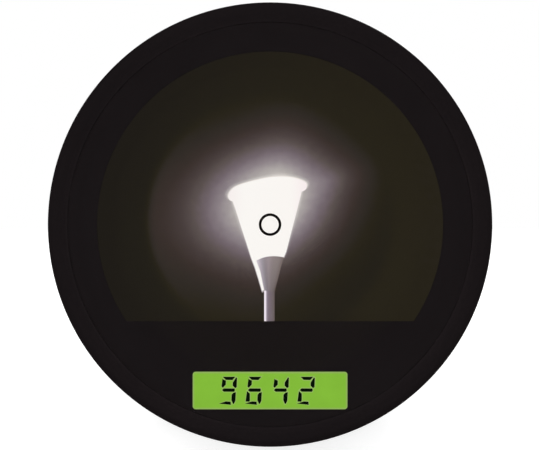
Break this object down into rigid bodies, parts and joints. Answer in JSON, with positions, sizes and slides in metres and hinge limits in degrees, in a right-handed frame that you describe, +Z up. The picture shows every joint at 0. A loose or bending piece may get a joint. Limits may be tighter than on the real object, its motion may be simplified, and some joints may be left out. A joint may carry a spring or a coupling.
{
  "type": "luminance meter",
  "caption": "Handheld straight-through spot luminance meter: round rubber eyecup and finder with a green digital display behind the eyepiece, focusing lens in front, measuring button on top.",
  "frame": {"origin": "bottom centre of the whole meter, under the base plate, in the middle of its length", "axes": "+Y forward along the line of sight from the eyecup to the objective, +X to the right as the eye sees it, +Z up"},
  "size_m": [0.077, 0.1658, 0.0788],
  "materials": {
    "black_rubber": "matt",
    "black_anodised": "satin anodised",
    "matt_black": "dead matt",
    "coated_glass": "polished, coated",
    "ground_glass": "finely ground",
    "liquid_crystal_cell": "polished",
    "green_light_guide": "evenly lit",
    "green_filter": "polished",
    "steel": "fine turned",
    "cast_aluminium": "bead blasted",
    "machined_aluminium": "satin",
    "graphite_abs": "fine moulded grain",
    "light_abs": "satin",
    "orange_abs": "satin",
    "clear_acrylic": "polished",
    "circuit_board": "solder mask",
    "brass": "turned",
    "cell_jacket": "satin"
  },
  "bodies": {
    "meter": {"rear_collar": "black_anodised", "finder_barrel": "matt_black", "field_mask": "matt_black", "reticle": "coated_glass", "focusing_screen": "ground_glass", "finder_lcd": "liquid_crystal_cell", "finder_backlight": "green_light_guide", "screen_frame": "matt_black", "relay_lens": "coated_glass", "relay_cell": "matt_black", "erecting_prism": "coated_glass", "beam_splitter": "coated_glass", "measuring_aperture": "black_anodised", "luminosity_filter": "green_filter", "photodiode": "steel", "detector_housing": "matt_black", "optical_bench": "cast_aluminium", "front_plate": "machined_aluminium", "lens_sleeve": "black_anodised", "left_housing": "graphite_abs", "right_housing": "graphite_abs", "base_plate": "cast_aluminium", "tripod_bush": "brass", "left_strap_lug": "steel", "right_strap_lug": "steel", "button_guide": "machined_aluminium", "measure_switch": "matt_black", "button_spring": "steel", "side_lcd": "liquid_crystal_cell", "side_window": "clear_acrylic", "display_board": "circuit_board", "main_board": "circuit_board", "battery_box": "matt_black", "battery_cell_upper": "cell_jacket", "battery_cell_lower": "cell_jacket", "battery_contact_rear": "brass", "battery_contact_front": "brass", "door_hinge_pin": "steel", "interface_port": "steel", "housing_screw_1": "steel", "housing_screw_2": "steel", "housing_screw_3": "steel", "housing_screw_4": "steel"},
    "eyepiece": {"eyecup": "black_rubber", "eyepiece_retaining_ring": "black_anodised", "eyepiece_lens": "coated_glass", "eyepiece_tube": "black_anodised"},
    "diopter": {"diopter_ring": "black_anodised"},
    "objective": {"objective_barrel": "black_anodised", "front_lens": "coated_glass", "rear_lens": "coated_glass", "lens_retaining_ring": "black_anodised"},
    "focus": {"focus_ring": "black_rubber"},
    "button": {"measure_button": "orange_abs"},
    "mode": {"mode_key": "light_abs"},
    "hold": {"hold_key": "light_abs"},
    "switch": {"power_switch": "light_abs"},
    "door": {"battery_door": "graphite_abs"},
    "latch": {"battery_latch": "light_abs"},
    "cover": {"port_cover": "black_rubber"}
  },
  "joints": [
    {"name": "diopter_turn", "type": "hinge", "parent": "meter", "child": "diopter", "pos_m": [0, -0.05625, 0.0393], "axis": [0, 1, 0], "range_deg": [0, 150]},
    {"name": "eyepiece_slide", "type": "slide", "parent": "meter", "child": "eyepiece", "axis": [0, -1, 0], "range_m": [0, 0.0025]},
    {"name": "focus_turn", "type": "hinge", "parent": "meter", "child": "focus", "pos_m": [0, 0.0632, 0.0393], "axis": [0, 1, 0], "range_deg": [0, 270]},
    {"name": "objective_slide", "type": "slide", "parent": "meter", "child": "objective", "axis": [0, 1, 0], "range_m": [0, 0.008]},
    {"name": "measure_press", "type": "slide", "parent": "meter", "child": "button", "axis": [0, 0, -1], "range_m": [0, 0.0012], "stiffness_N_per_m": 700, "springref_m": -0.001, "deforming": ["button_spring"]},
    {"name": "mode_press", "type": "slide", "parent": "meter", "child": "mode", "axis": [1, 0, 0], "range_m": [0, 0.0006], "stiffness_N_per_m": 500, "springref_m": -0.0005},
    {"name": "hold_press", "type": "slide", "parent": "meter", "child": "hold", "axis": [1, 0, 0], "range_m": [0, 0.0006], "stiffness_N_per_m": 500, "springref_m": -0.0005},
    {"name": "power_slide", "type": "slide", "parent": "meter", "child": "switch", "axis": [0, 0, 1], "range_m": [0, 0.004]},
    {"name": "door_hinge", "type": "hinge", "parent": "meter", "child": "door", "pos_m": [0.0329, 0.0047, 0.0224], "axis": [0, 1, 0], "range_deg": [0, 95]},
    {"name": "latch_slide", "type": "slide", "parent": "door", "child": "latch", "axis": [0, 0, 1], "range_m": [0, 0.0018]},
    {"name": "cover_hinge", "type": "hinge", "parent": "meter", "child": "cover", "pos_m": [-0.0351, 0.03085, 0.0393], "axis": [0, 0, 1], "range_deg": [0, 100]}
  ],
  "couplings": [
    {"joint": "eyepiece_slide", "follows": "diopter_turn", "m_per_rad": 0.00095493},
    {"joint": "objective_slide", "follows": "focus_turn", "m_per_rad": 0.0016977}
  ]
}
